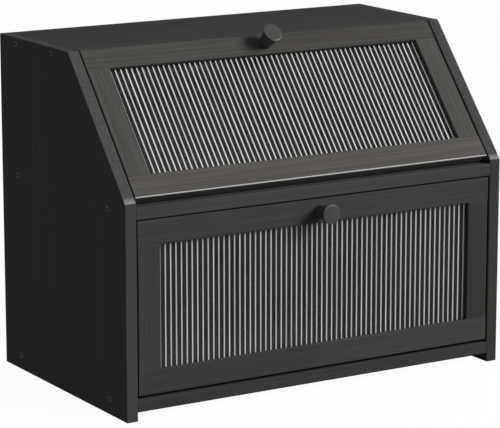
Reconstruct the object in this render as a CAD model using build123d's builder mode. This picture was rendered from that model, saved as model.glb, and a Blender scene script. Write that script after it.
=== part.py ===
from build123d import *
from dataclasses import dataclass
from math import atan2, cos, degrees, hypot, radians, sin
import os

# Two-tier bread box: a five-sided cabinet of boards, a glazed lid on the slope and a glazed
# drop-front door below it. Both leaves turn on steel pins near their lower ends.
# Millimetres. X runs across, Y runs back, Z is up. The origin is under the middle of the box,
# on the counter, halfway between the tip of the door knob and the rear edges.

# Outline of the side panels
WIDTH = 420.0
DEPTH = 250.0
HEIGHT = 330.0
FRONT_HEIGHT = 205.0
TOP_DEPTH = 142.0

# Boards of the cabinet
BOARD = 12.0
BOTTOM_LIFT = 8.5
SHELF_DROP = 4.0
EDGE_BEVEL = 0.6

# Back panel and the groove that holds it
BACK_THICKNESS = 5.0
BACK_SET_IN = 6.0
BACK_GROOVE_DEPTH = 5.0
BACK_PLAY = 0.2
VENT_RADIUS = 4.0
VENT_COUNT = 2
VENT_SPACING = 60.0
VENT_DROP = 30.0

# The two glazed leaves
LEAF_THICKNESS = 12.0
RAIL = 23.5
LID_TOP_RAIL = 21.5
STILE = 23.5
SIDE_GAP = 1.5
DOOR_TOP_GAP = 1.3
DOOR_RECESS = 0.8
LID_RECESS = 0.3
END_ROUND = 1.5
SWING_GAP = 0.55
STOP_GAP = 0.3

# Fluted panes and the grooves that hold them
PANE = 4.0
PANE_GRIP = 6.0
PANE_PLAY = 0.15
PANE_BORDER = 1.0
RIB_PITCH = 5.7
RIB_HEIGHT = 0.6
GROOVE_ROOM = 1.0
TENON_PLAY = 0.05

# Knobs
KNOB_LENGTH = 21.0
KNOB_FACE_RADIUS = 9.5
KNOB_BASE_RADIUS = 6.0

# Pivot pins
PIN_RADIUS = 2.5
PIN_IN_RAIL = 10.0
PIN_IN_SIDE = 6.0
PIN_FIT = 0.02
PIN_RUNNING_FIT = 0.06
PIN_END_ROOM = 0.8

# Bar magnets, the steel plates that they hold and the cleat that carries the door's magnets
MAGNET_LENGTH = 20.0
MAGNET_WIDTH = 6.0
MAGNET_DEPTH = 3.0
STRIKE_LENGTH = 24.0
STRIKE_WIDTH = 8.0
STRIKE_DEPTH = 1.2
MAGNET_INSET = 45.0
INLAY_FIT = 0.05
CLEAT = 12.0
CLEAT_SIDE_GAP = 1.5

# Screws
CABINET_COLLAR_RADIUS = 3.25
CABINET_SHANK_RADIUS = 1.75
CABINET_SCREW_LENGTH = 38.0
CABINET_SCREW_INSET = 34.0
HEX_RADIUS = 1.5
WOOD_HEAD_RADIUS = 3.0
WOOD_HEAD_DEPTH = 2.2
WOOD_SHANK_RADIUS = 1.5
CLEAT_SCREW_LENGTH = 20.0
CLEAT_SCREW_SPACING = 200.0
KNOB_HEAD_RADIUS = 4.0
KNOB_HEAD_DEPTH = 2.6
KNOB_SHANK_RADIUS = 2.0
KNOB_SCREW_LENGTH = 24.0
CROSS_WIDTH = 0.8
RECESS_DEPTH = 1.6
SCREW_FIT = 0.05
SCREW_TIP_ROOM = 1.0
HEAD_SINK = 0.15

# Places that follow from the sizes above
HALF_WIDTH = WIDTH / 2
INNER_HALF = HALF_WIDTH - BOARD
KNOB_REACH = KNOB_LENGTH - DOOR_RECESS
FRONT = -(DEPTH - KNOB_REACH) / 2
BACK = FRONT + DEPTH
SLOPE_TOP = BACK - TOP_DEPTH
SLOPE = degrees(atan2(HEIGHT - FRONT_HEIGHT, SLOPE_TOP - FRONT))
SHELF_TOP = FRONT_HEIGHT - SHELF_DROP
SHELF_UNDER = SHELF_TOP - BOARD
BOTTOM_TOP = BOTTOM_LIFT + BOARD
TOP_UNDER = HEIGHT - BOARD
BACK_GROOVE_WIDTH = BACK_THICKNESS + 2 * BACK_PLAY
BACK_GROOVE_REAR = BACK - BACK_SET_IN
BACK_GROOVE_FRONT = BACK_GROOVE_REAR - BACK_GROOVE_WIDTH
BACK_PANEL_LOW = BOTTOM_TOP - BACK_GROOVE_DEPTH + BACK_PLAY
BACK_PANEL_TOP = TOP_UNDER + BACK_GROOVE_DEPTH - BACK_PLAY
BACK_PANEL_HALF = INNER_HALF + BACK_GROOVE_DEPTH - BACK_PLAY
LEAF_HALF = INNER_HALF - SIDE_GAP
WINDOW_HALF = LEAF_HALF - STILE
PANE_HALF = WINDOW_HALF + PANE_GRIP
GROOVE_DEPTH = PANE_GRIP + GROOVE_ROOM
GROOVE_WIDTH = PANE + 2 * PANE_PLAY
TENON_WIDTH = GROOVE_WIDTH - 2 * TENON_PLAY
TENON_LENGTH = PANE_GRIP
KNOB_BORE_DEPTH = KNOB_SCREW_LENGTH - LEAF_THICKNESS + SCREW_TIP_ROOM

# Reach of a leaf's rounded lower end from its pin, which lies half a thickness from three faces
END_SWEEP = hypot(LEAF_THICKNESS / 2 - END_ROUND, LEAF_THICKNESS / 2 - END_ROUND) + END_ROUND

SIDES = {"left": -1, "right": 1}


@dataclass
class Leaf:
    """A glazed leaf. u runs up its face, v runs out of its face and is 0 on it."""

    name: str
    tilt: float
    y: float
    z: float
    board_top: float
    top: float
    top_rail: float

    @property
    def up(self):
        return Vector(0, cos(radians(self.tilt)), sin(radians(self.tilt)))

    @property
    def out(self):
        return Vector(0, -sin(radians(self.tilt)), cos(radians(self.tilt)))

    def point(self, x, u, v):
        return Vector(x, self.y, self.z) + self.up * u + self.out * v

    def u_at(self, height, v):
        """Distance up the leaf at which the plane at depth v reaches a height."""
        return (height - self.z - v * self.out.Z) / self.up.Z

    @property
    def pin_u(self):
        return self.u_at(self.board_top + END_SWEEP + SWING_GAP, -LEAF_THICKNESS / 2)

    @property
    def low(self):
        return self.pin_u - LEAF_THICKNESS / 2

    @property
    def high(self):
        return self.u_at(self.top, 0)

    @property
    def window_low(self):
        return self.low + RAIL

    @property
    def window_high(self):
        return self.high - self.top_rail

    @property
    def knob_u(self):
        return self.high - self.top_rail / 2

    @property
    def pivot(self):
        return self.point(0, self.pin_u, -LEAF_THICKNESS / 2)

    @property
    def section(self):
        """Plane of the leaf's side view: local x up the leaf, local y out of its face."""
        return Plane(origin=self.point(0, 0, 0), x_dir=self.up, z_dir=(1, 0, 0))

    def across(self, u):
        """Plane square to the leaf at u: local x across, local y into the leaf."""
        return Plane(origin=self.point(0, u, 0), x_dir=(1, 0, 0), z_dir=self.up)

    def facing_out(self, x, u, v):
        return Plane(origin=self.point(x, u, v), x_dir=(1, 0, 0), z_dir=self.out)

    def facing_in(self, x, u, v):
        return Plane(origin=self.point(x, u, v), x_dir=(1, 0, 0), z_dir=-self.out)


LID = Leaf(
    name="lid",
    tilt=SLOPE,
    y=FRONT + LID_RECESS * sin(radians(SLOPE)),
    z=FRONT_HEIGHT - LID_RECESS * cos(radians(SLOPE)),
    board_top=SHELF_TOP,
    top=HEIGHT,
    top_rail=LID_TOP_RAIL,
)
DOOR = Leaf(
    name="door",
    tilt=90.0,
    y=FRONT + DOOR_RECESS,
    z=0.0,
    board_top=BOTTOM_TOP,
    top=SHELF_UNDER - DOOR_TOP_GAP,
    top_rail=RAIL,
)

# Height on the lid and on the door at which the magnets sit: the middle of what carries them
LID_MAGNET_U = LID.u_at(HEIGHT - BOARD / 2, -LEAF_THICKNESS - STOP_GAP)
DOOR_MAGNET_U = SHELF_UNDER - CLEAT / 2
MAGNET_X = LEAF_HALF - MAGNET_INSET

os.makedirs("parts", exist_ok=True)


def keep(builder, name):
    """Labels a finished piece and writes it under its own name."""
    builder.part.label = name
    export_step(builder.part, f"parts/{name}.step")


# Places of the screws, each a plane that faces out of the wood


def side_screw_places(side, height, depths):
    return [Plane(origin=(side * HALF_WIDTH, y, height), z_dir=(side, 0, 0)) for y in depths]


TOP_SCREW_DEPTHS = [SLOPE_TOP + CABINET_SCREW_INSET, BACK - CABINET_SCREW_INSET]
LOWER_SCREW_DEPTHS = [FRONT + CABINET_SCREW_INSET, BACK - CABINET_SCREW_INSET]
CABINET_SCREWS = {
    "top_board": (HEIGHT - BOARD / 2, TOP_SCREW_DEPTHS),
    "shelf": (SHELF_TOP - BOARD / 2, LOWER_SCREW_DEPTHS),
    "bottom_board": (BOTTOM_TOP - BOARD / 2, LOWER_SCREW_DEPTHS),
}


def board_screw_places(board):
    height, depths = CABINET_SCREWS[board]
    return side_screw_places(-1, height, depths) + side_screw_places(1, height, depths)


CLEAT_FRONT = DOOR.point(0, 0, -LEAF_THICKNESS - STOP_GAP).Y
CLEAT_SCREW_PLACES = [
    Plane(origin=(x, CLEAT_FRONT + CLEAT / 2, SHELF_UNDER - CLEAT), z_dir=(0, 0, -1))
    for x in (-CLEAT_SCREW_SPACING / 2, CLEAT_SCREW_SPACING / 2)
]


def magnet_places(leaf, u):
    """The two magnet faces behind a closed leaf, looking out at it."""
    return [leaf.facing_out(x, u, -LEAF_THICKNESS - STOP_GAP) for x in (-MAGNET_X, MAGNET_X)]


def strike_places(leaf, u):
    """The two plate faces in the back of a leaf, looking in at the magnets."""
    return [leaf.facing_in(x, u, -LEAF_THICKNESS) for x in (-MAGNET_X, MAGNET_X)]


def knob_screw_place(leaf):
    return leaf.facing_in(0, leaf.knob_u, -LEAF_THICKNESS)


# Cabinet


def make_side_panel(side):
    """Five-sided board with the groove for the back panel and blind holes for the pins."""
    with BuildPart() as panel:
        with BuildSketch(Plane.YZ.offset(side * INNER_HALF)):
            with BuildLine():
                Polyline(
                    (FRONT, 0),
                    (FRONT, FRONT_HEIGHT),
                    (SLOPE_TOP, HEIGHT),
                    (BACK, HEIGHT),
                    (BACK, 0),
                    close=True,
                )
            make_face()
        extrude(amount=side * BOARD)
        chamfer(panel.faces().sort_by(Axis.X)[0].edges(), EDGE_BEVEL)
        chamfer(panel.faces().sort_by(Axis.X)[-1].edges(), EDGE_BEVEL)
        with BuildSketch(Plane.YZ.offset(side * INNER_HALF)):
            with Locations((BACK_GROOVE_FRONT, BACK_PANEL_LOW - BACK_PLAY)):
                Rectangle(
                    BACK_GROOVE_WIDTH,
                    BACK_PANEL_TOP - BACK_PANEL_LOW + 2 * BACK_PLAY,
                    align=(Align.MIN, Align.MIN),
                )
        extrude(amount=side * BACK_GROOVE_DEPTH, mode=Mode.SUBTRACT)
        for height, depths in CABINET_SCREWS.values():
            with Locations(*side_screw_places(side, height, depths)):
                Hole(CABINET_COLLAR_RADIUS + SCREW_FIT, depth=BOARD)
        for leaf in (LID, DOOR):
            pivot = leaf.pivot
            mouth = Plane(origin=(side * INNER_HALF, pivot.Y, pivot.Z), z_dir=(-side, 0, 0))
            with Locations(mouth):
                Hole(PIN_RADIUS + PIN_RUNNING_FIT, depth=PIN_IN_SIDE + PIN_END_ROOM)
    return panel


for side_name, side_sign in SIDES.items():
    keep(make_side_panel(side_sign), f"{side_name}_side_panel")


with BuildPart() as top_board:
    stop_depth = -LEAF_THICKNESS - STOP_GAP
    bevel_low = LID.point(0, LID.u_at(TOP_UNDER, stop_depth), stop_depth).Y
    bevel_high = LID.point(0, LID.u_at(HEIGHT, stop_depth), stop_depth).Y
    with BuildSketch(Plane.YZ):
        with BuildLine():
            Polyline(
                (bevel_low, TOP_UNDER),
                (bevel_high, HEIGHT),
                (BACK, HEIGHT),
                (BACK, TOP_UNDER),
                close=True,
            )
        make_face()
        chamfer(vertices().group_by(Axis.X)[-1], EDGE_BEVEL)
        with Locations((BACK_GROOVE_FRONT, TOP_UNDER)):
            Rectangle(
                BACK_GROOVE_WIDTH,
                BACK_GROOVE_DEPTH,
                align=(Align.MIN, Align.MIN),
                mode=Mode.SUBTRACT,
            )
    extrude(amount=INNER_HALF, both=True)
    with Locations(*board_screw_places("top_board")):
        Hole(CABINET_SHANK_RADIUS + SCREW_FIT, depth=CABINET_SCREW_LENGTH + SCREW_TIP_ROOM)
    with BuildSketch(*magnet_places(LID, LID_MAGNET_U)):
        Rectangle(MAGNET_LENGTH + 2 * INLAY_FIT, MAGNET_WIDTH + 2 * INLAY_FIT)
    extrude(amount=-MAGNET_DEPTH, mode=Mode.SUBTRACT)
keep(top_board, "top_board")


with BuildPart() as middle_shelf:
    with BuildSketch(Plane.YZ):
        with Locations((FRONT, SHELF_UNDER)):
            Rectangle(BACK_GROOVE_FRONT + BACK_PLAY - FRONT, BOARD, align=(Align.MIN, Align.MIN))
        chamfer(vertices().group_by(Axis.X)[0], EDGE_BEVEL)
    extrude(amount=INNER_HALF, both=True)
    with Locations(*board_screw_places("shelf")):
        Hole(CABINET_SHANK_RADIUS + SCREW_FIT, depth=CABINET_SCREW_LENGTH + SCREW_TIP_ROOM)
    with Locations(*CLEAT_SCREW_PLACES):
        Hole(WOOD_SHANK_RADIUS + SCREW_FIT, depth=CLEAT_SCREW_LENGTH + SCREW_TIP_ROOM)
keep(middle_shelf, "middle_shelf")


with BuildPart() as bottom_board:
    with BuildSketch(Plane.YZ):
        with Locations((FRONT, BOTTOM_LIFT)):
            Rectangle(DEPTH, BOARD, align=(Align.MIN, Align.MIN))
        chamfer(vertices(), EDGE_BEVEL)
        with Locations((BACK_GROOVE_FRONT, BOTTOM_TOP)):
            Rectangle(
                BACK_GROOVE_WIDTH,
                BACK_GROOVE_DEPTH,
                align=(Align.MIN, Align.MAX),
                mode=Mode.SUBTRACT,
            )
    extrude(amount=INNER_HALF, both=True)
    with Locations(*board_screw_places("bottom_board")):
        Hole(CABINET_SHANK_RADIUS + SCREW_FIT, depth=CABINET_SCREW_LENGTH + SCREW_TIP_ROOM)
keep(bottom_board, "bottom_board")


with BuildPart() as back_panel:
    with BuildSketch(Plane.XZ.offset(-(BACK_GROOVE_REAR - BACK_PLAY))):
        with Locations((0, BACK_PANEL_LOW)):
            Rectangle(
                2 * BACK_PANEL_HALF,
                BACK_PANEL_TOP - BACK_PANEL_LOW,
                align=(Align.CENTER, Align.MIN),
            )
        for ceiling in (SHELF_UNDER, TOP_UNDER):
            with Locations((0, ceiling - VENT_DROP)):
                with GridLocations(VENT_SPACING, 0, VENT_COUNT, 1):
                    Circle(VENT_RADIUS, mode=Mode.SUBTRACT)
    extrude(amount=BACK_THICKNESS)
keep(back_panel, "back_panel")


with BuildPart() as door_stop_cleat:
    with BuildSketch(Plane.YZ):
        with Locations((CLEAT_FRONT, SHELF_UNDER)):
            Rectangle(CLEAT, CLEAT, align=(Align.MIN, Align.MAX))
        chamfer(vertices().group_by(Axis.Y)[0], EDGE_BEVEL)
    extrude(amount=INNER_HALF - CLEAT_SIDE_GAP, both=True)
    with Locations(*CLEAT_SCREW_PLACES):
        CounterBoreHole(
            WOOD_SHANK_RADIUS + SCREW_FIT,
            WOOD_HEAD_RADIUS + SCREW_FIT,
            counter_bore_depth=WOOD_HEAD_DEPTH,
            depth=CLEAT,
        )
    with BuildSketch(*magnet_places(DOOR, DOOR_MAGNET_U)):
        Rectangle(MAGNET_LENGTH + 2 * INLAY_FIT, MAGNET_WIDTH + 2 * INLAY_FIT)
    extrude(amount=-MAGNET_DEPTH, mode=Mode.SUBTRACT)
keep(door_stop_cleat, "door_stop_cleat")


# Screws, each drawn with its head in the XY plane and its tip below


def make_screw(head_radius, head_depth, shank_radius, length, hexagonal):
    """Sunk round-headed screw with a hexagon socket or a cross recess."""
    with BuildPart() as screw:
        with BuildSketch(Plane.XZ):
            with BuildLine():
                Polyline(
                    (0, -HEAD_SINK),
                    (head_radius, -HEAD_SINK),
                    (head_radius, -head_depth),
                    (shank_radius, -head_depth),
                    (shank_radius, -length),
                    (0, -length),
                    close=True,
                )
            make_face()
        revolve(axis=Axis.Z)
        with BuildSketch(Plane.XY.offset(-HEAD_SINK)):
            if hexagonal:
                RegularPolygon(HEX_RADIUS, 6)
            else:
                Rectangle(2 * shank_radius, CROSS_WIDTH)
                Rectangle(CROSS_WIDTH, 2 * shank_radius)
        extrude(amount=-RECESS_DEPTH, mode=Mode.SUBTRACT)
    return screw


def make_screws(screw, places):
    """One group of the same screw, a separate solid at each place."""
    with BuildPart() as group:
        with Locations(*places):
            add(screw.part)
    return group


# The cabinet screws have a collar that fills the bore of the side panel
cabinet_screw = make_screw(
    CABINET_COLLAR_RADIUS, BOARD, CABINET_SHANK_RADIUS, CABINET_SCREW_LENGTH, hexagonal=True
)
for board_name in CABINET_SCREWS:
    keep(make_screws(cabinet_screw, board_screw_places(board_name)), f"{board_name}_screws")

cleat_screw = make_screw(
    WOOD_HEAD_RADIUS, WOOD_HEAD_DEPTH, WOOD_SHANK_RADIUS, CLEAT_SCREW_LENGTH, hexagonal=False
)
keep(make_screws(cleat_screw, CLEAT_SCREW_PLACES), "cleat_screws")


# Magnets and plates, let flush into the wood


def make_inlays(places, length, width, depth):
    with BuildPart() as inlays:
        with BuildSketch(*places):
            Rectangle(length, width)
        extrude(amount=-depth)
    return inlays


for leaf, magnet_u in ((LID, LID_MAGNET_U), (DOOR, DOOR_MAGNET_U)):
    magnets = make_inlays(magnet_places(leaf, magnet_u), MAGNET_LENGTH, MAGNET_WIDTH, MAGNET_DEPTH)
    keep(magnets, f"{leaf.name}_magnets")


# Leaves


def cut_groove(mouth):
    """Groove for pane and tenons, in the middle of the thickness of a rail."""
    with Locations((mouth, -LEAF_THICKNESS / 2)):
        Rectangle(2 * GROOVE_DEPTH, GROOVE_WIDTH, mode=Mode.SUBTRACT)


def make_bottom_rail(leaf):
    """Lower rail: rounded to clear the board below it as the leaf swings, bored for the pins."""
    with BuildPart() as rail:
        with BuildSketch(leaf.section):
            with Locations((leaf.low, 0)):
                Rectangle(RAIL, LEAF_THICKNESS, align=(Align.MIN, Align.MAX))
            fillet(vertices().group_by(Axis.X)[0], END_ROUND)
            chamfer(vertices().group_by(Axis.X)[-1], EDGE_BEVEL)
            cut_groove(leaf.window_low)
        extrude(amount=LEAF_HALF, both=True)
        for side in SIDES.values():
            end = leaf.point(side * LEAF_HALF, leaf.pin_u, -LEAF_THICKNESS / 2)
            with Locations(Plane(origin=end, z_dir=(side, 0, 0))):
                Hole(PIN_RADIUS + PIN_FIT, depth=PIN_IN_RAIL + PIN_FIT)
    return rail


def make_top_rail(leaf, magnet_u):
    """Upper rail: its end is cut level, its back holds the plates and the knob's screw."""
    with BuildPart() as rail:
        with BuildSketch(leaf.section):
            with BuildLine():
                Polyline(
                    (leaf.window_high, 0),
                    (leaf.high, 0),
                    (leaf.u_at(leaf.top, -LEAF_THICKNESS), -LEAF_THICKNESS),
                    (leaf.window_high, -LEAF_THICKNESS),
                    close=True,
                )
            make_face()
            chamfer(vertices(), EDGE_BEVEL)
            cut_groove(leaf.window_high)
        extrude(amount=LEAF_HALF, both=True)
        with BuildSketch(*strike_places(leaf, magnet_u)):
            Rectangle(STRIKE_LENGTH + 2 * INLAY_FIT, STRIKE_WIDTH + 2 * INLAY_FIT)
        extrude(amount=-STRIKE_DEPTH, mode=Mode.SUBTRACT)
        with Locations(knob_screw_place(leaf)):
            CounterBoreHole(
                KNOB_SHANK_RADIUS + SCREW_FIT,
                KNOB_HEAD_RADIUS + SCREW_FIT,
                counter_bore_depth=KNOB_HEAD_DEPTH,
                depth=LEAF_THICKNESS,
            )
    return rail


def make_stile(leaf, side):
    """Upright of the frame, grooved for the pane, with a stub tenon for each rail."""
    with BuildPart() as stile:
        with BuildSketch(leaf.across(leaf.window_low)):
            with Locations((side * (WINDOW_HALF + STILE / 2), LEAF_THICKNESS / 2)):
                Rectangle(STILE, LEAF_THICKNESS)
            chamfer(vertices(), EDGE_BEVEL)
            with Locations((side * WINDOW_HALF, LEAF_THICKNESS / 2)):
                Rectangle(2 * GROOVE_DEPTH, GROOVE_WIDTH, mode=Mode.SUBTRACT)
        extrude(amount=leaf.window_high - leaf.window_low)
        tenon_middle = WINDOW_HALF + (GROOVE_DEPTH + STILE) / 2
        with BuildSketch(leaf.across(leaf.window_low - TENON_LENGTH)):
            with Locations((side * tenon_middle, LEAF_THICKNESS / 2)):
                Rectangle(STILE - GROOVE_DEPTH, TENON_WIDTH)
        extrude(amount=leaf.window_high - leaf.window_low + 2 * TENON_LENGTH)
    return stile


def make_pane(leaf):
    """Pane whose outer face is a row of rounded ribs that run up the leaf."""
    rib_count = int(2 * (PANE_HALF - PANE_BORDER) // RIB_PITCH)
    first = -rib_count * RIB_PITCH / 2
    crest = (LEAF_THICKNESS - PANE) / 2
    valley = crest + RIB_HEIGHT
    rear = crest + PANE
    with BuildPart() as pane:
        with BuildSketch(leaf.across(leaf.window_low - PANE_GRIP)):
            with BuildLine():
                for rib in range(rib_count):
                    left = first + rib * RIB_PITCH
                    ThreePointArc(
                        (left, valley), (left + RIB_PITCH / 2, crest), (left + RIB_PITCH, valley)
                    )
                Polyline(
                    (-first, valley),
                    (PANE_HALF, valley),
                    (PANE_HALF, rear),
                    (-PANE_HALF, rear),
                    (-PANE_HALF, valley),
                    (first, valley),
                )
            make_face()
        extrude(amount=leaf.window_high - leaf.window_low + 2 * PANE_GRIP)
    return pane


def make_knob(leaf):
    """Tapered round knob, bored from its base for the screw."""
    axis_u = leaf.knob_u
    with BuildPart() as knob:
        with BuildSketch(leaf.section):
            with BuildLine():
                Polyline(
                    (axis_u + KNOB_SHANK_RADIUS + SCREW_FIT, 0),
                    (axis_u + KNOB_BASE_RADIUS, 0),
                    (axis_u + KNOB_FACE_RADIUS, KNOB_LENGTH),
                    (axis_u, KNOB_LENGTH),
                    (axis_u, KNOB_BORE_DEPTH),
                    (axis_u + KNOB_SHANK_RADIUS + SCREW_FIT, KNOB_BORE_DEPTH),
                    close=True,
                )
            make_face()
        revolve(axis=Axis(leaf.point(0, axis_u, 0), leaf.out))
    return knob


def make_pins(leaf):
    """Two steel pins, each fast in the rail and running in a side panel."""
    with BuildPart() as pins:
        for side in SIDES.values():
            inner = leaf.point(side * (LEAF_HALF - PIN_IN_RAIL), leaf.pin_u, -LEAF_THICKNESS / 2)
            with Locations(Plane(origin=inner, z_dir=(side, 0, 0))):
                Cylinder(
                    PIN_RADIUS,
                    PIN_IN_RAIL + SIDE_GAP + PIN_IN_SIDE,
                    align=(Align.CENTER, Align.CENTER, Align.MIN),
                )
    return pins


knob_screw = make_screw(
    KNOB_HEAD_RADIUS, KNOB_HEAD_DEPTH, KNOB_SHANK_RADIUS, KNOB_SCREW_LENGTH, hexagonal=False
)

for leaf, magnet_u in ((LID, LID_MAGNET_U), (DOOR, DOOR_MAGNET_U)):
    keep(make_bottom_rail(leaf), f"{leaf.name}_bottom_rail")
    keep(make_top_rail(leaf, magnet_u), f"{leaf.name}_top_rail")
    for side_name, side_sign in SIDES.items():
        keep(make_stile(leaf, side_sign), f"{leaf.name}_{side_name}_stile")
    keep(make_pane(leaf), f"{leaf.name}_pane")
    keep(make_knob(leaf), f"{leaf.name}_knob")
    keep(make_screws(knob_screw, [knob_screw_place(leaf)]), f"{leaf.name}_knob_screw")
    keep(make_pins(leaf), f"{leaf.name}_pivot_pins")
    plates = make_inlays(strike_places(leaf, magnet_u), STRIKE_LENGTH, STRIKE_WIDTH, STRIKE_DEPTH)
    keep(plates, f"{leaf.name}_strike_plates")
    pivot = leaf.pivot
    print(f"{leaf.name} turns about X at y {pivot.Y:.4f}, z {pivot.Z:.4f} mm")
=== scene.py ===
"""The looks of a two-door bread box: stained boards, fluted panes, turned knobs and hex-socket screws."""

import math

import bpy
from mathutils import Matrix, Vector


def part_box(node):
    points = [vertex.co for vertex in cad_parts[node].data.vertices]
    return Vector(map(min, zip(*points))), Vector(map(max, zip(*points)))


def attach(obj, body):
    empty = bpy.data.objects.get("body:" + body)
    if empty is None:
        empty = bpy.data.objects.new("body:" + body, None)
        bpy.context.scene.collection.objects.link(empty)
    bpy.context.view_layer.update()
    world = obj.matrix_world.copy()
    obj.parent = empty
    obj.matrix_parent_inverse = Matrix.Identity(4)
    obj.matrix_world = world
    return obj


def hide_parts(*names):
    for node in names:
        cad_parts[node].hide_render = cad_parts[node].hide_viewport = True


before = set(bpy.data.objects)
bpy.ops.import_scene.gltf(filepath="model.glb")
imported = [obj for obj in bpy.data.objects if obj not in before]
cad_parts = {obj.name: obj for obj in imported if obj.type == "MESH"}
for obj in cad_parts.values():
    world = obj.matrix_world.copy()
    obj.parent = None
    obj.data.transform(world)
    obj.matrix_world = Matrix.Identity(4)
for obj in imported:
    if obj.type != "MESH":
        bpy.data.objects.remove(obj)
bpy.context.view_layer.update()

MM = 0.001

# Sizes of the box that its boards' corners don't give
FRONT_HEIGHT = 205 * MM
TOP_DEPTH = 142 * MM

# Fluted glass, each flute rounded in steps, with one more column at each side for the flat border
RIB_COUNT = 62
RIB_PITCH = 5.7 * MM
RIB_DEPTH = 0.95 * MM
RIB_STEPS = 10
BORDER_COLUMNS = 2
PANE_CREASE = math.radians(32)
PANE_MERGE = 0.01 * MM

# Hex-socket cabinet screws
COLLAR_RADIUS = 3.25 * MM
COLLAR_LENGTH = 11.85 * MM
COLLAR_RIM = 0.35 * MM
SOCKET_RADIUS = 1.6 * MM
SOCKET_DEPTH = 1.6 * MM
SOCKET_MOUTH = 0.18 * MM
SOCKET_LIP = 0.1 * MM
SHANK_RADIUS = 1.75 * MM
SCREW_LENGTH = 37.85 * MM
SCREW_POINT = 3 * MM
SCREW_SIDES = 36
SCREW_CREASE = math.radians(30)

# Turned knobs. The flank's rows are shares of the way from foot to face, outwards and upwards.
# The rounding's rows are shares of the eased edge, inwards and downwards from the face's corner.
KNOB_FOOT_RADIUS = 6 * MM
KNOB_FOOT_ROUNDING = 0.3 * MM
KNOB_FOOT_FLAT = 0.94
KNOB_FLANK = ((0.22, 0.25), (0.52, 0.55), (0.9, 0.9))
KNOB_EDGE = 0.7 * MM
KNOB_ROUNDING = ((0.0, 1.0), (0.08, 0.6), (0.3, 0.28), (0.65, 0.06), (1.0, 0.0))
KNOB_MARGIN = 0.05 * MM
KNOB_SIDES = 64
KNOB_CREASE = math.radians(40)
TURNED_MERGE = 0.002 * MM

# Bamboo: the strips that a board is glued up from, and how fine its patterns are per metre, the
# first number along the fibres
LAMELLA = 24 * MM
FIBRES = (7, 420, 420)
CLOUDS = (5, 24, 24)
PORES = (60, 1500, 1500)
FLECKS = 1100

# How far edges are eased, and how far the painted highlights reach up from a corner and from a joint
BOARD_EDGE = 0.5 * MM
PAINTED_EDGE = 0.4 * MM
KNOB_WOOD_EDGE = 0.4 * MM
CORNER_HIGHLIGHT_REACH = 6 * MM
CORNER_HIGHLIGHT_CORE = 1 * MM
HAIRLINE_REACH = 0.5 * MM
HAIRLINE_CORE = 0.2 * MM

# Glass: how far above a pane's rear the flutes' painted highlight lines start, and where they are whole
LINE_START = 0.6 * MM
LINE_WHOLE = 1.2 * MM


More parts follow.
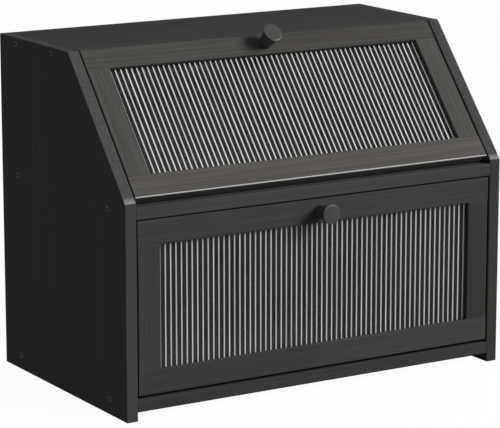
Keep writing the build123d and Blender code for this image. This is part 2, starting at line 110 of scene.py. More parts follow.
class Wire:
    """A socket in a node tree. Python's operators on it add Math nodes."""

    def __init__(self, tree, socket=None):
        self.tree = tree
        self.socket = socket

    def node(self, kind, settings=None, sockets=None, output=0):
        """Adds a node with its settings, then its sockets' values or links, and gives one output."""
        made = self.tree.nodes.new(kind)
        for name, value in (settings or {}).items():
            if name == "choices":
                while len(made.index_switch_items) < value:
                    made.index_switch_items.new()
            else:
                setattr(made, name, value)
        for name, value in (sockets or {}).items():
            for part in value if isinstance(value, list) else [value]:
                if isinstance(part, Wire):
                    self.tree.links.new(part.socket, made.inputs[name])
                else:
                    made.inputs[name].default_value = part
        return Wire(self.tree, made.outputs[output] if made.outputs else None)

    def output(self, name):
        """Another output of the node that this wire comes from."""
        return Wire(self.tree, self.socket.node.outputs[name])

    def math(self, operation, *values):
        """A Math node on these values, or on this wire where none are given."""
        return self.node("ShaderNodeMath", {"operation": operation}, dict(enumerate(values or (self,))))

    def __add__(self, other):
        return self.math("ADD", self, other)

    def __radd__(self, other):
        return self.math("ADD", other, self)

    def __sub__(self, other):
        return self.math("SUBTRACT", self, other)

    def __rsub__(self, other):
        return self.math("SUBTRACT", other, self)

    def __mul__(self, other):
        return self.math("MULTIPLY", self, other)

    def __rmul__(self, other):
        return self.math("MULTIPLY", other, self)

    def __truediv__(self, other):
        return self.math("DIVIDE", self, other)

    def __rtruediv__(self, other):
        return self.math("DIVIDE", other, self)

    def __gt__(self, other):
        return self.math("GREATER_THAN", self, other)

    def __abs__(self):
        return self.math("ABSOLUTE")

    def fraction(self):
        return self.math("FRACT")

    def axis(self, letter):
        """One coordinate of a vector."""
        return self.node("ShaderNodeSeparateXYZ", {}, {"Vector": self}, letter)

    def ease(self, start, end):
        """Goes smoothly from 0, where the value is start, to 1, where it is end."""
        sockets = {"Value": self, "From Min": start, "From Max": end}
        return self.node("ShaderNodeMapRange", {"interpolation_type": "SMOOTHSTEP"}, sockets, "Result")

    def stretched(self, scale):
        """A vector stretched by a factor for each axis."""
        settings = {"operation": "MULTIPLY"}
        return self.node("ShaderNodeVectorMath", settings, {0: self, 1: scale}, "Vector")

    def turned(self, angles):
        """A vector turned by an angle about each axis."""
        return self.node("ShaderNodeMapping", {}, {"Vector": self, "Rotation": angles}, "Vector")

    def noise(self, scale=1.0, detail=2.0, roughness=0.5):
        """Noise from 0 to 1 on a vector."""
        sockets = {"Vector": self, "Scale": scale, "Detail": detail, "Roughness": roughness}
        return self.node("ShaderNodeTexNoise", {"noise_dimensions": "3D"}, sockets, "Fac")

    def tint(self, low, high):
        """A colour from low to high."""
        return self.node("ShaderNodeMix", {"data_type": "RGBA"}, {0: self, 6: low, 7: high}, 2)

    def bump(self, strength, distance, normal=None):
        """Normals dented by this height."""
        sockets = {"Height": self, "Strength": strength, "Distance": distance}
        if normal:
            sockets["Normal"] = normal
        return self.node("ShaderNodeBump", {}, sockets, "Normal")

    def along(self, other):
        """How far a direction points along another."""
        return self.node("ShaderNodeVectorMath", {"operation": "DOT_PRODUCT"}, {0: self, 1: other}, "Value")

    def facing(self):
        """The way that the surface faces, in the object's own coordinates."""
        return self.node("ShaderNodeTexCoord", {}, {}, "Normal")

    def rounded_edges(self, radius):
        """Normals of the surface with its edges eased by a radius."""
        return self.node("ShaderNodeBevel", {"samples": 4}, {"Radius": radius}, "Normal")


def grey(level):
    """A neutral colour of a level as written in sRGB, from 0 to 255."""
    return rgb(level, level, level)


def rgb(*levels):
    """A colour for a socket from sRGB levels of 0 to 255."""
    linear = [level / 255 for level in levels]
    linear = [c / 12.92 if c <= 0.04045 else ((c + 0.055) / 1.055) ** 2.4 for c in linear]
    return (*linear, 1)


def begin_finish(name):
    """A new material, a wire to start its tree from and the object's own coordinates."""
    material = bpy.data.materials.new(name)
    material.use_nodes = True
    material.node_tree.nodes.clear()
    start = Wire(material.node_tree)
    place = start.node("ShaderNodeTexCoord", {}, {}, "Object")
    return material, start, place


def end_finish(material, shader):
    """Ends a material's tree in its shader and gives the material."""
    shader.node("ShaderNodeOutputMaterial", {}, {"Surface": shader})
    return material


# Finishes

OPEN_GRAIN = grey(100)
# Eased edges are paled: partly wear, partly a painted edge highlight
EDGE_WEAR_AND_SHEEN = grey(96)
# A painted highlight on the lid's rounded lower edge
PAINTED_EDGE_HIGHLIGHT = grey(176)
# A painted highlight on the side panels' end grain just above the slope's lower corner
PAINTED_CORNER_HIGHLIGHT = grey(150)
# A painted highlight along the hairline where the uprights meet the rails
PAINTED_HAIRLINE_HIGHLIGHT = grey(120)


def stained_bamboo(name, turn, dark, pale, sheen, lower_end=None, joints=None, corner=None, level_cut=None):
    """Black-stained bamboo, its fibres along x once the coordinates are turned.

    With lower_end, the way that a leaf's lower end faces and the way that its face looks, the
    rounded edge between the two gets a pale painted highlight. With joints, the way up a leaf and
    the two heights at which its uprights meet the rails, a pale hairline there is a painted
    highlight. With corner, the height where a slanted edge turns into an upright one, a pale
    painted highlight lies on the end grain just above it. With level_cut, a face that looks
    straight up takes that colour. Eased edges are paled everywhere, partly wear and partly a
    painted highlight.
    """
    material, start, place = begin_finish(name)
    board = place.turned(turn)
    fibre = board.stretched(FIBRES).noise(detail=4.0, roughness=0.6)
    cloud = board.stretched(CLOUDS).noise()
    pore = board.stretched(PORES).noise(detail=1.0).ease(0.6, 0.72)
    strip = board.stretched((0, 1 / LAMELLA, 1 / LAMELLA))
    strip = start.node("ShaderNodeVectorMath", {"operation": "FLOOR"}, {0: strip}, "Vector")
    lamella = start.node("ShaderNodeTexWhiteNoise", {"noise_dimensions": "3D"}, {"Vector": strip}, "Value")
    fleck = place.noise(FLECKS, detail=1.0, roughness=0.6).ease(0.42, 0.62)
    tone = fibre.ease(0.28, 0.74) * 0.5 + cloud * 0.35 + lamella * 0.15 - pore * 0.15

    facing = start.facing()
    slant = abs(facing.turned(turn).axis("X"))
    end_grain = slant.ease(0.3, 0.6) * slant.ease(0.98, 0.8)
    open_grain = end_grain * (fleck * 0.7 - 0.25)
    eased = start.rounded_edges(BOARD_EDGE)
    sharp = start.node("ShaderNodeNewGeometry", {}, {}, "Normal")
    # Eased edges paled: partly wear, partly painted highlight
    wear_and_sheen = (1 - eased.along(sharp)).ease(0.02, 0.3) * 0.3
    colour = wear_and_sheen.tint(open_grain.tint(tone.tint(dark, pale), OPEN_GRAIN), EDGE_WEAR_AND_SHEEN)
    if lower_end:
        end, face = lower_end
        # Painted highlight on the rounded lower edge
        edge_highlight = facing.along(end).ease(0.1, 0.3) * facing.along(face).ease(0.5, 0.75)
        colour = edge_highlight.tint(colour, PAINTED_EDGE_HIGHLIGHT)
    if corner:
        just_above = place.axis("Z").ease(corner + CORNER_HIGHLIGHT_REACH, corner + CORNER_HIGHLIGHT_CORE)
        # Painted highlight on the end grain just above the corner
        painted_glint = just_above * end_grain * (0.35 + fleck * 0.5)
        colour = painted_glint.tint(colour, PAINTED_CORNER_HIGHLIGHT)
    if level_cut:
        colour = facing.axis("Z").ease(0.9, 0.97).tint(colour, level_cut)
    if joints:
        up, heights = joints
        for height in heights:
            # Painted highlight along each joint's hairline
            seam = abs(place.along(up) - height).ease(HAIRLINE_REACH, HAIRLINE_CORE) * 0.35
            colour = seam.tint(colour, PAINTED_HAIRLINE_HIGHLIGHT)
    height = fibre * 0.7 - pore * 0.6 + fleck * end_grain
    shader = start.node("ShaderNodeBsdfPrincipled", {}, {
        "Base Color": colour,
        "Roughness": 0.58 - tone * 0.16,
        "Normal": height.bump(strength=0.16, distance=0.2 * MM, normal=eased),
        "Specular IOR Level": sheen,
    }, "BSDF")
    return end_finish(material, shader)


def painted_back_board(name):
    """Thin black fibreboard with the faint orange-peel of a sprayed coat."""
    material, start, place = begin_finish(name)
    peel = place.noise(700)
    cloud = place.noise(14, detail=3.0)
    eased = start.rounded_edges(PAINTED_EDGE)
    shader = start.node("ShaderNodeBsdfPrincipled", {}, {
        "Base Color": (cloud * 0.7 + peel * 0.3).tint(grey(28), grey(46)),
        "Roughness": 0.72 - peel * 0.15,
        "Normal": peel.bump(strength=0.2, distance=0.15 * MM, normal=eased),
        "Specular IOR Level": 0.3,
    }, "BSDF")
    return end_finish(material, shader)


def turned_knob_wood(name, face, glint_side, glint_level):
    """Black-stained knob wood. One side of the face's eased rim has a painted highlight at a set level."""
    material, start, place = begin_finish(name)
    fibre = place.stretched((500, 12, 500)).noise(detail=3.0, roughness=0.6)
    cloud = place.noise(120)
    tone = fibre * 0.6 + cloud * 0.4
    eased = start.rounded_edges(KNOB_WOOD_EDGE)
    facing = start.facing()
    out_of_face = facing.along(face)
    rim = out_of_face.ease(0.1, 0.35) * out_of_face.ease(0.99, 0.95)
    # Painted highlight on one side of the face's eased rim
    painted_glint = rim * facing.along(glint_side).ease(0.5, 0.8)
    stain = tone.tint(rgb(54, 53, 51), rgb(80, 78, 75))
    shader = start.node("ShaderNodeBsdfPrincipled", {}, {
        "Base Color": painted_glint.tint(stain, grey(glint_level)),
        "Roughness": 0.55 - tone * 0.15,
        "Normal": fibre.bump(strength=0.15, distance=0.15 * MM, normal=eased),
        "Specular IOR Level": 0.05,
    }, "BSDF")
    return end_finish(material, shader)


def fluted_glass(name, leaf, painted_line_levels):
    """Clear pressed glass, with a painted highlight line and painted shade beside it at each outer valley."""
    material, start, place = begin_finish(name)
    axes = LEAF_AXES[leaf]
    rear = box_along(axes, f"{leaf}_pane")[0].z
    outer = (place.along(tuple(axes.col[2])) - rear).ease(LINE_START, LINE_WHOLE)
    phase = (place.axis("X") / RIB_PITCH + RIB_COUNT / 2).fraction()
    from_valley = 0.5 - abs(phase - 0.5)
    ripple = place.stretched((160, 22, 22)).noise()
    streak = place.stretched((900, 14, 14)).noise()
    # Painted highlight: a pale line at each outer valley, mixed in as a plain diffuse shader below
    line = from_valley.ease(0.155, 0.085) * outer
    # Painted shade: the glass is tinted dark beside each highlight line
    clear_of_painted_shade = from_valley.ease(0.16, 0.36)
    crest = streak.tint(rgb(212, 207, 200), rgb(238, 235, 230))
    clear = start.node("ShaderNodeBsdfPrincipled", {}, {
        "Base Color": clear_of_painted_shade.tint(rgb(84, 82, 80), crest),
        "Roughness": 0.02 + ripple * 0.03,
        "Normal": ripple.bump(strength=0.04, distance=0.3 * MM),
        "Transmission Weight": 1.0,
        "IOR": 1.3,
        "Specular IOR Level": 0.1,
    }, "BSDF")
    dull, bright = painted_line_levels
    painted_line_highlight = start.node("ShaderNodeBsdfPrincipled", {}, {
        "Base Color": streak.tint(grey(dull), grey(bright)),
        "Roughness": 0.25 + streak * 0.1,
    }, "BSDF")
    glass = start.node("ShaderNodeMixShader", {}, {0: line * (0.62 + streak * 0.5), 1: clear, 2: painted_line_highlight})
    shadow = start.node("ShaderNodeLightPath", {}, {}, "Is Shadow Ray")
    open_air = start.node("ShaderNodeBsdfTransparent", {}, {"Color": grey(232)})
    return end_finish(material, start.node("ShaderNodeMixShader", {}, {0: shadow, 1: glass, 2: open_air}))


def steel(name, dark, pale, roughness, grain):
    """Plated steel with fine marks, their fineness given by the grain."""
    material, start, place = begin_finish(name)
    mark = place.noise(grain, detail=3.0, roughness=0.7)
    stain = place.noise(grain / 9)
    shader = start.node("ShaderNodeBsdfPrincipled", {}, {
        "Base Color": (mark * 0.6 + stain * 0.4).tint(dark, pale),
        "Roughness": roughness + (mark - 0.5) * 0.2,
        "Normal": mark.bump(strength=0.15, distance=0.05 * MM),
        "Metallic": 1.0,
    }, "BSDF")
    return end_finish(material, shader)


# Axes of the leaves and of their fibres

cabinet_low, cabinet_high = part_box("left_side_panel")
slope_run = cabinet_high.y - cabinet_low.y - TOP_DEPTH
slope_rise = cabinet_high.z - FRONT_HEIGHT
SLOPE = math.atan2(slope_rise, slope_run)
QUARTER_TURN = math.pi / 2


def leaf_axes(tilt):
    """Takes x along the width, y up the leaf and z out of its face to the frame's own axes."""
    back, up = math.cos(tilt), math.sin(tilt)
    return Matrix(((1, 0, 0), (0, back, -up), (0, up, back)))


def box_along(axes, node):
    """The lowest and highest corner of a CAD node, measured along a leaf's own axes."""
    to_leaf = axes.inverted()
    points = [to_leaf @ vertex.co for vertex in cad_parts[node].data.vertices]
    low = Vector([min(point[i] for point in points) for i in range(3)])
    high = Vector([max(point[i] for point in points) for i in range(3)])
    return low, high


LEAF_AXES = {"lid": leaf_axes(SLOPE), "door": leaf_axes(QUARTER_TURN)}


def joints_of(leaf):
    """The way up a leaf and the heights along it at which its uprights meet its rails."""
    axes = LEAF_AXES[leaf]
    lower = box_along(axes, f"{leaf}_bottom_rail")[1].y
    upper = box_along(axes, f"{leaf}_top_rail")[0].y
    return tuple(axes.col[1]), (lower, upper)


ALONG_X = (0, 0, 0)
ALONG_Z = (0, QUARTER_TURN, 0)
UP_THE_SLOPE = (QUARTER_TURN - SLOPE, QUARTER_TURN, 0)

LID_LOWER_END = (0, -math.cos(SLOPE), -math.sin(SLOPE))
LID_FACE = (0, -math.sin(SLOPE), math.cos(SLOPE))
DOOR_FACE = (0, -1, 0)

# Each stain goes from dark to pale, with how much of its sheen a board shows
# The lid's stains are paler than the door's: painted sheen of the sloped lid, most on its lower rail
LID_STAIN_AND_SHEEN = (rgb(62, 60, 57), rgb(91, 88, 84), 0.04)
LID_UPPER_STAIN_AND_SHEEN = (rgb(57, 55, 52), rgb(80, 78, 74), 0.0)
LID_STILE_STAIN_AND_SHEEN = (rgb(58, 57, 54), rgb(84, 82, 78), 0.04)
DOOR_STAIN = (rgb(51, 50, 48), rgb(68, 67, 65), 0.03)
# Darker copy of the door's stain for the right stile: painted shade
DOOR_RIGHT_SHADED_STAIN = (rgb(45, 44, 42), rgb(60, 59, 57), 0.03)
BOARD_STAIN = (rgb(59, 58, 58), rgb(73, 72, 71), 0.0)
# Darker copy of the board stain for the bottom board: painted shade
LOW_BOARD_SHADED_STAIN = (rgb(51, 50, 48), rgb(64, 63, 61), 0.0)
LEFT_SIDE_STAIN = (rgb(61, 60, 59), rgb(72, 71, 70), 0.006)
# Darker copy of the side stain for the right side panel: painted shade
RIGHT_SIDE_SHADED_STAIN = (rgb(51, 50, 48), rgb(61, 60, 58), 0.006)
LID_TOP_CUT = rgb(69, 68, 68)
# Darker than the board, so that the side panels' level top edges look as dark as the top: painted shade
SIDE_TOP_SHADED_CUT = rgb(51, 50, 50)

LID_JOINTS = joints_of("lid")
DOOR_JOINTS = joints_of("door")

FINISHES = {
    "board": stained_bamboo("black_bamboo_board", ALONG_X, *BOARD_STAIN),
    # The bottom board: painted shade in its darker stain
    "low_board": stained_bamboo("black_bamboo_low_board_shaded", ALONG_X, *LOW_BOARD_SHADED_STAIN),
    "left_side": stained_bamboo(
        "black_bamboo_left_side", ALONG_Z, *LEFT_SIDE_STAIN, corner=FRONT_HEIGHT, level_cut=SIDE_TOP_SHADED_CUT
    ),
    # The right side panel: painted shade in its darker stain
    "right_side": stained_bamboo(
        "black_bamboo_right_side_shaded", ALONG_Z, *RIGHT_SIDE_SHADED_STAIN, corner=FRONT_HEIGHT, level_cut=SIDE_TOP_SHADED_CUT
    ),
    # The lid's rails and stiles: stain with painted sheen
    "lid_upper_rail": stained_bamboo(
        "dark_stained_lid_upper_rail_painted_sheen", ALONG_X, *LID_UPPER_STAIN_AND_SHEEN, level_cut=LID_TOP_CUT
    ),
    # The lid's rounded lower edge carries a painted highlight
    "lid_lower_rail": stained_bamboo(
        "dark_stained_lid_lower_rail_painted_sheen", ALONG_X, *LID_STAIN_AND_SHEEN, lower_end=(LID_LOWER_END, LID_FACE)
    ),
    "lid_stile": stained_bamboo(
        "dark_stained_lid_stile_painted_sheen", UP_THE_SLOPE, *LID_STILE_STAIN_AND_SHEEN, joints=LID_JOINTS
    ),
    "door_rail": stained_bamboo("dark_stained_door_rail", ALONG_X, *DOOR_STAIN),
    "door_left_stile": stained_bamboo(
        "dark_stained_door_left_stile", ALONG_Z, *DOOR_STAIN, joints=DOOR_JOINTS
    ),
    # The right door stile: painted shade in its darker stain
    "door_right_stile": stained_bamboo(
        "dark_stained_door_right_stile_shaded", ALONG_Z, *DOOR_RIGHT_SHADED_STAIN, joints=DOOR_JOINTS
    ),
    "back": painted_back_board("black_back_board_paint"),
    # The knobs' eased rims carry a painted highlight on one side
    "lid_knob": turned_knob_wood(
        "black_lid_knob", LID_FACE, glint_side=(0.25, -0.64, -0.73), glint_level=200
    ),
    "door_knob": turned_knob_wood(
        "black_door_knob", DOOR_FACE, glint_side=(-0.1, -0.5, 0.86), glint_level=116
    ),
    # The panes carry painted highlight lines and painted shade at their flutes
    "lid_glass": fluted_glass("clear_fluted_lid_glass", "lid", painted_line_levels=(200, 236)),
    "door_glass": fluted_glass("clear_fluted_door_glass", "door", painted_line_levels=(184, 216)),
    "cabinet_screw": steel("dark_plated_screw", grey(18), grey(42), roughness=0.5, grain=2600),
    "wood_screw": steel(
        "yellowish_wood_screw", rgb(150, 142, 120), rgb(200, 194, 176), roughness=0.35, grain=2200
    ),
    "pin": steel("bright_pin_steel", grey(150), grey(205), roughness=0.3, grain=1800),
    "plate": steel("pressed_plate_steel", grey(120), grey(180), roughness=0.4, grain=1400),
    "magnet": steel(
        "nickel_magnet_plate", rgb(165, 160, 150), rgb(214, 210, 200), roughness=0.22, grain=900
    ),
}

CAD_FINISHES = {
    "left_side_panel": "left_side",
    "right_side_panel": "right_side",
    "top_board": "board",
    "middle_shelf": "board",
    "bottom_board": "low_board",
    "door_stop_cleat": "board",
    "back_panel": "back",
    "cleat_screws": "wood_screw",
    "lid_magnets": "magnet",
    "door_magnets": "magnet",
    "lid_top_rail": "lid_upper_rail",
    "lid_bottom_rail": "lid_lower_rail",
    "lid_left_stile": "lid_stile",
    "lid_right_stile": "lid_stile",
    "door_top_rail": "door_rail",
    "door_bottom_rail": "door_rail",
    "door_left_stile": "door_left_stile",
    "door_right_stile": "door_right_stile",
}
for leaf in LEAF_AXES:
    CAD_FINISHES |= {
        f"{leaf}_knob_screw": "wood_screw",
        f"{leaf}_pivot_pins": "pin",
        f"{leaf}_strike_plates": "plate",
    }
for node, finish in CAD_FINISHES.items():
    for material_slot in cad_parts[node].material_slots:
        material_slot.material = FINISHES[finish]


# Pieces


def begin_tree(name, sizes, kinds):
    """A geometry tree with a named input for each size, and a wire for each. Sizes are numbers
    unless kinds names another kind of socket for them."""
    tree = bpy.data.node_groups.new(name, "GeometryNodeTree")
    tree.interface.new_socket("Geometry", in_out="OUTPUT", socket_type="NodeSocketGeometry")
    for size in sizes:
        kind = kinds.get(size, "NodeSocketFloat")
        tree.interface.new_socket(size, in_out="INPUT", socket_type=kind)
    start = Wire(tree)
    given = start.node("NodeGroupInput")
    return tree, start, {size: given.output(size) for size in sizes}


def end_tree(start, geometry, finish):
    """Realizes what repeats and gives it its finish."""
    plain = start.node("GeometryNodeRealizeInstances", {}, {"Geometry": geometry})
    finished = start.node("GeometryNodeSetMaterial", {}, {"Geometry": plain, "Material": finish})
    start.node("NodeGroupOutput", {}, {"Geometry": finished})


def grown(name, tree, sizes, place=Matrix.Identity(4)):
    """Runs a geometry tree with its sizes and gives a plain mesh piece at its place."""
    piece = bpy.data.objects.new(name, bpy.data.meshes.new(name + "_start"))
    bpy.context.scene.collection.objects.link(piece)
    modifier = piece.modifiers.new("grow", "NODES")
    modifier.node_group = tree
    identifiers = {item.name: item.identifier for item in tree.interface.items_tree if item.in_out == "INPUT"}
    for size, value in sizes.items():
        modifier[identifiers[size]] = value
    evaluated = piece.evaluated_get(bpy.context.evaluated_depsgraph_get())
    mesh = bpy.data.meshes.new_from_object(evaluated)
    piece.modifiers.remove(modifier)
    mesh.name = name
    mesh.transform(place)
    piece.data = mesh
    return piece


def soften(start, mesh, angle):
    """Shades a mesh smooth, with its edges sharp where they turn by more than an angle."""
    smooth = start.node("GeometryNodeSetShadeSmooth", {"domain": "FACE"}, {
        "Geometry": mesh,
        "Shade Smooth": True,
    })
    return start.node("GeometryNodeSetShadeSmooth", {"domain": "EDGE"}, {
        "Geometry": smooth,
        "Selection": start.node("GeometryNodeInputMeshEdgeAngle", {}, {}, "Unsigned Angle") > angle,
        "Shade Smooth": False,
    })


def across_piece(start):
    """Each point's own x."""
    return start.node("GeometryNodeInputPosition").axis("X")


def fluted_pane_tree():
    """A flat pane with rounded flutes across its outer face, its rear on the plane z = 0."""
    sizes = ["Width", "Height", "Thickness", "Pitch", "Rib Depth", "Finish"]
    tree, start, given = begin_tree("fluted_pane", sizes, {"Finish": "NodeSocketMaterial"})
    width, height, thickness, pitch, rib_depth, finish = (given[size] for size in sizes)
    step = 1 / RIB_STEPS
    half_count = RIB_COUNT / 2
    sheet = start.node("GeometryNodeMeshGrid", {}, {
        "Size X": pitch * (RIB_COUNT + BORDER_COLUMNS * step),
        "Size Y": height,
        "Vertices X": RIB_COUNT * RIB_STEPS + BORDER_COLUMNS + 1,
        "Vertices Y": 2,
    }, "Mesh")
    across = across_piece(start)
    on_border = abs(across) > pitch * (half_count + 0.5 * step)
    outward = across.math("SIGN") * (width / 2 - abs(across)) * on_border
    sheet = start.node("GeometryNodeSetPosition", {}, {
        "Geometry": sheet,
        "Offset": start.node("ShaderNodeCombineXYZ", {}, {"X": outward}),
    })
    rear = start.node("GeometryNodeFlipFaces", {}, {"Mesh": sheet})
    raised = start.node("GeometryNodeExtrudeMesh", {"mode": "FACES"}, {
        "Mesh": sheet,
        "Offset Scale": thickness - rib_depth,
        "Individual": False,
    })
    phase = (across / pitch + half_count).fraction() * 2 - 1
    on_flutes = pitch * (half_count + 0.1 * step) > abs(across)
    round_rib = (1 - phase * phase) * rib_depth * on_flutes
    fluted = start.node("GeometryNodeSetPosition", {}, {
        "Geometry": raised,
        "Selection": raised.output("Top"),
        "Offset": start.node("ShaderNodeCombineXYZ", {}, {"Z": round_rib}),
    })
    joined = start.node("GeometryNodeJoinGeometry", {}, {"Geometry": [fluted, rear]})
    closed = start.node("GeometryNodeMergeByDistance", {}, {"Geometry": joined, "Distance": PANE_MERGE})
    end_tree(start, soften(start, closed, PANE_CREASE), finish)
    return tree


def turned_surface(start, rows, sides, hexagon=()):
    """A piece turned about z through rows of radius and height. Rows in hexagon are six-sided."""
    grid = start.node("GeometryNodeMeshGrid", {}, {
        "Size X": 1.0,
        "Size Y": 1.0,
        "Vertices X": sides + 1,
        "Vertices Y": len(rows),
    }, "Mesh")
    position = start.node("GeometryNodeInputPosition")
    angle = (position.axis("X") + 0.5) * math.tau
    row = ((position.axis("Y") + 0.5) * (len(rows) - 1)).math("ROUND")

    def chosen(values):
        """The value that stands at this point's row."""
        sockets = {"Index": row} | {str(i): value for i, value in enumerate(values)}
        return start.node("GeometryNodeIndexSwitch", {"data_type": "FLOAT", "choices": len(rows)}, sockets)

    radius = chosen([radius for radius, height in rows])
    if hexagon:
        sixth = math.tau / 6
        from_middle = ((angle / sixth).fraction() - 0.5) * sixth
        six_sided = math.cos(sixth / 2) / from_middle.math("COSINE")
        flatness = chosen([1.0 if i in hexagon else 0.0 for i in range(len(rows))])
        radius = radius * (1 - flatness + flatness * six_sided)
    point = start.node("ShaderNodeCombineXYZ", {}, {
        "X": radius * angle.math("COSINE"),
        "Y": radius * angle.math("SINE"),
        "Z": chosen([height for radius, height in rows]),
    })
    turned = start.node("GeometryNodeSetPosition", {}, {"Geometry": grid, "Position": point})
    return start.node("GeometryNodeMergeByDistance", {}, {"Geometry": turned, "Distance": TURNED_MERGE})


def knob_tree():
    """A knob that widens from its foot at z = 0 to a flat face with an eased edge."""
    sizes = ["Length", "Face Radius", "Foot Radius", "Edge", "Finish"]
    tree, start, given = begin_tree("turned_knob", sizes, {"Finish": "NodeSocketMaterial"})
    length, face, foot, edge, finish = (given[size] for size in sizes)
    rows = [
        (0.0, 0.0),
        (foot * KNOB_FOOT_FLAT, 0.0),
        (foot, KNOB_FOOT_ROUNDING),
        *((foot + (face - foot) * outward, length * upward) for outward, upward in KNOB_FLANK),
        *((face - edge * inward, length - edge * downward) for inward, downward in KNOB_ROUNDING),
        (0.0, length),
    ]
    surface = turned_surface(start, rows, KNOB_SIDES)
    end_tree(start, soften(start, surface, KNOB_CREASE), finish)
    return tree


def cabinet_screws_tree():
    """Hex-socket screws at the four corners of a board's edge joints, their collars outermost."""
    sizes = ["Span", "Spacing", "Length", "Collar Radius", "Socket Radius", "Shank Radius", "Centre"]
    tree, start, given = begin_tree("cabinet_screws", sizes, {"Centre": "NodeSocketVector"})
    span, spacing, length, collar, socket, shank, centre = (given[size] for size in sizes)
    rows = [
        (0.0, -SOCKET_DEPTH),
        (socket, -SOCKET_DEPTH),
        (socket, -SOCKET_LIP),
        (socket + SOCKET_MOUTH, 0.0),
        (collar - COLLAR_RIM, 0.0),
        (collar, -COLLAR_RIM),
        (collar, -COLLAR_LENGTH),
        (shank, -COLLAR_LENGTH),
        (shank, SCREW_POINT - length),
        (0.0, 0 - length),
    ]
    screw = turned_surface(start, rows, SCREW_SIDES, hexagon=(1, 2))
    screw = soften(start, start.node("GeometryNodeFlipFaces", {}, {"Mesh": screw}), SCREW_CREASE)
    corners = start.node("GeometryNodeMeshGrid", {}, {
        "Size X": span,
        "Size Y": spacing,
        "Vertices X": 2,
        "Vertices Y": 2,
    }, "Mesh")
    outward_turn = across_piece(start).math("SIGN") * QUARTER_TURN
    placed = start.node("GeometryNodeInstanceOnPoints", {}, {
        "Points": start.node("GeometryNodeSetPosition", {}, {"Geometry": corners, "Offset": centre}),
        "Instance": screw,
        "Rotation": start.node("ShaderNodeCombineXYZ", {}, {"Y": outward_turn}),
    })
    end_tree(start, placed, FINISHES["cabinet_screw"])
    return tree


pane_tree = fluted_pane_tree()
turned_knob_tree = knob_tree()
for leaf, axes in LEAF_AXES.items():
    low, high = box_along(axes, f"{leaf}_pane")
    middle = axes @ Vector(((low.x + high.x) / 2, (low.y + high.y) / 2, low.z))
    pane = grown(f"{leaf}_fluted_pane", pane_tree, {
        "Width": high.x - low.x,
        "Height": high.y - low.y,
        "Thickness": high.z - low.z,
        "Pitch": RIB_PITCH,
        "Rib Depth": RIB_DEPTH,
        "Finish": FINISHES[f"{leaf}_glass"],
    }, Matrix.Translation(middle) @ axes.to_4x4())
    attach(pane, leaf)
    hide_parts(f"{leaf}_pane")

    low, high = box_along(axes, f"{leaf}_knob")
    foot = axes @ Vector(((low.x + high.x) / 2, (low.y + high.y) / 2, low.z))
    knob = grown(f"{leaf}_turned_knob", turned_knob_tree, {
        "Length": high.z - low.z,
        "Face Radius": (high.x - low.x) / 2 - KNOB_MARGIN,
        "Foot Radius": KNOB_FOOT_RADIUS,
        "Edge": KNOB_EDGE,
        "Finish": FINISHES[f"{leaf}_knob"],
    }, Matrix.Translation(foot) @ axes.to_4x4())
    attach(knob, leaf)
    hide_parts(f"{leaf}_knob")

screws_tree = cabinet_screws_tree()
for board in ("top_board", "shelf", "bottom_board"):
    low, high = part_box(f"{board}_screws")
    screws = grown(f"{board}_hex_screws", screws_tree, {
        "Span": high.x - low.x,
        "Spacing": high.y - low.y - 2 * COLLAR_RADIUS,
        "Length": SCREW_LENGTH,
        "Collar Radius": COLLAR_RADIUS,
        "Socket Radius": SOCKET_RADIUS,
        "Shank Radius": SHANK_RADIUS,
        "Centre": (low + high) / 2,
    })
    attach(screws, "cabinet")
    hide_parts(f"{board}_screws")


# Floor, light and camera

FLOOR_HALF = 9.0
WORLD_LIGHT = 0.3
LAMP_AIM = Vector((0, 0, 0.15))
CAMERA_PLACE = Vector((-1.2955, -2.1113, 0.6875))
CAMERA_YAW = math.radians(31.38)
CAMERA_PITCH = math.radians(12.205)
CAMERA_LENS = 185.66
CAMERA_SENSOR = 36


def seen_straight(start):
    """1 where the camera, metal or glass looks at the surface, 0 where it only lights the box."""
    path = start.node("ShaderNodeLightPath")
    seen = path.math("MAXIMUM", path.output("Is Camera Ray"), path.output("Is Glossy Ray"))
    return seen.math("MAXIMUM", seen, path.output("Is Transmission Ray"))


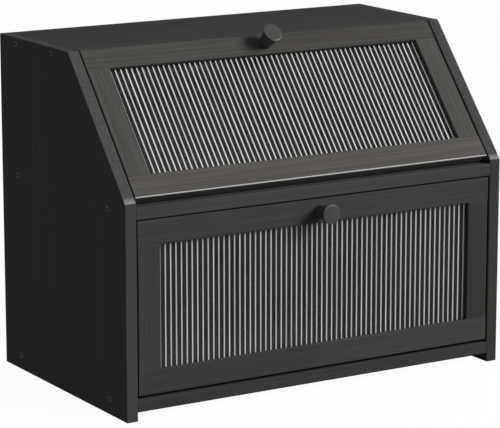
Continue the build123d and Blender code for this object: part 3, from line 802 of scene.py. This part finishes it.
def pale_floor():
    """A near-white floor that keeps the soft shadow and shows white to the camera, metal and glass."""
    material, start, place = begin_finish("pale_studio_floor")
    seen = seen_straight(start)
    cloud = place.noise(2.0)
    matt = start.node("ShaderNodeBsdfDiffuse", {}, {"Color": seen.tint(grey(124), grey(252))})
    white = start.node("ShaderNodeEmission", {}, {"Color": cloud.tint(grey(254), grey(255)), "Strength": 1.0})
    return end_finish(material, start.node("ShaderNodeMixShader", {}, {0: seen * 0.97, 1: matt, 2: white}))


def studio_world():
    """Even pale light, white where the camera, metal or glass looks straight at it."""
    world = bpy.data.worlds.new("pale_studio")
    world.use_nodes = True
    world.node_tree.nodes.clear()
    start = Wire(world.node_tree)
    strength = WORLD_LIGHT + seen_straight(start) * (1 - WORLD_LIGHT)
    light = start.node("ShaderNodeBackground", {}, {"Color": grey(255), "Strength": strength})
    start.node("ShaderNodeOutputWorld", {}, {"Surface": light})
    return world


def soft_lamp(name, place, width, height, watts):
    """A rectangular studio lamp aimed at the middle of the box."""
    lamp = bpy.data.lights.new(name, "AREA")
    lamp.shape = "RECTANGLE"
    lamp.size = width
    lamp.size_y = height
    lamp.energy = watts
    holder = bpy.data.objects.new(name, lamp)
    holder.location = place
    holder.rotation_euler = (LAMP_AIM - holder.location).to_track_quat("-Z", "Y").to_euler()
    bpy.context.scene.collection.objects.link(holder)


floor_mesh = bpy.data.meshes.new("studio_floor")
floor_corners = [(x * FLOOR_HALF, y * FLOOR_HALF, 0) for x, y in ((-1, -1), (1, -1), (1, 1), (-1, 1))]
floor_mesh.from_pydata(floor_corners, [], [(0, 1, 2, 3)])
floor = bpy.data.objects.new("studio_floor", floor_mesh)
floor.data.materials.append(pale_floor())
bpy.context.scene.collection.objects.link(floor)
bpy.context.scene.world = studio_world()

soft_lamp("front_lamp", place=(2.95, -3.5, 2.75), width=2.6, height=1.9, watts=332)

lens = bpy.data.cameras.new("photo_camera")
lens.sensor_width = CAMERA_SENSOR
lens.lens = CAMERA_LENS
camera = bpy.data.objects.new("photo_camera", lens)
camera.location = CAMERA_PLACE
camera.rotation_euler = (QUARTER_TURN - CAMERA_PITCH, 0, -CAMERA_YAW)
bpy.context.scene.collection.objects.link(camera)
bpy.context.scene.camera = camera
bpy.context.scene.view_settings.view_transform = "Standard"
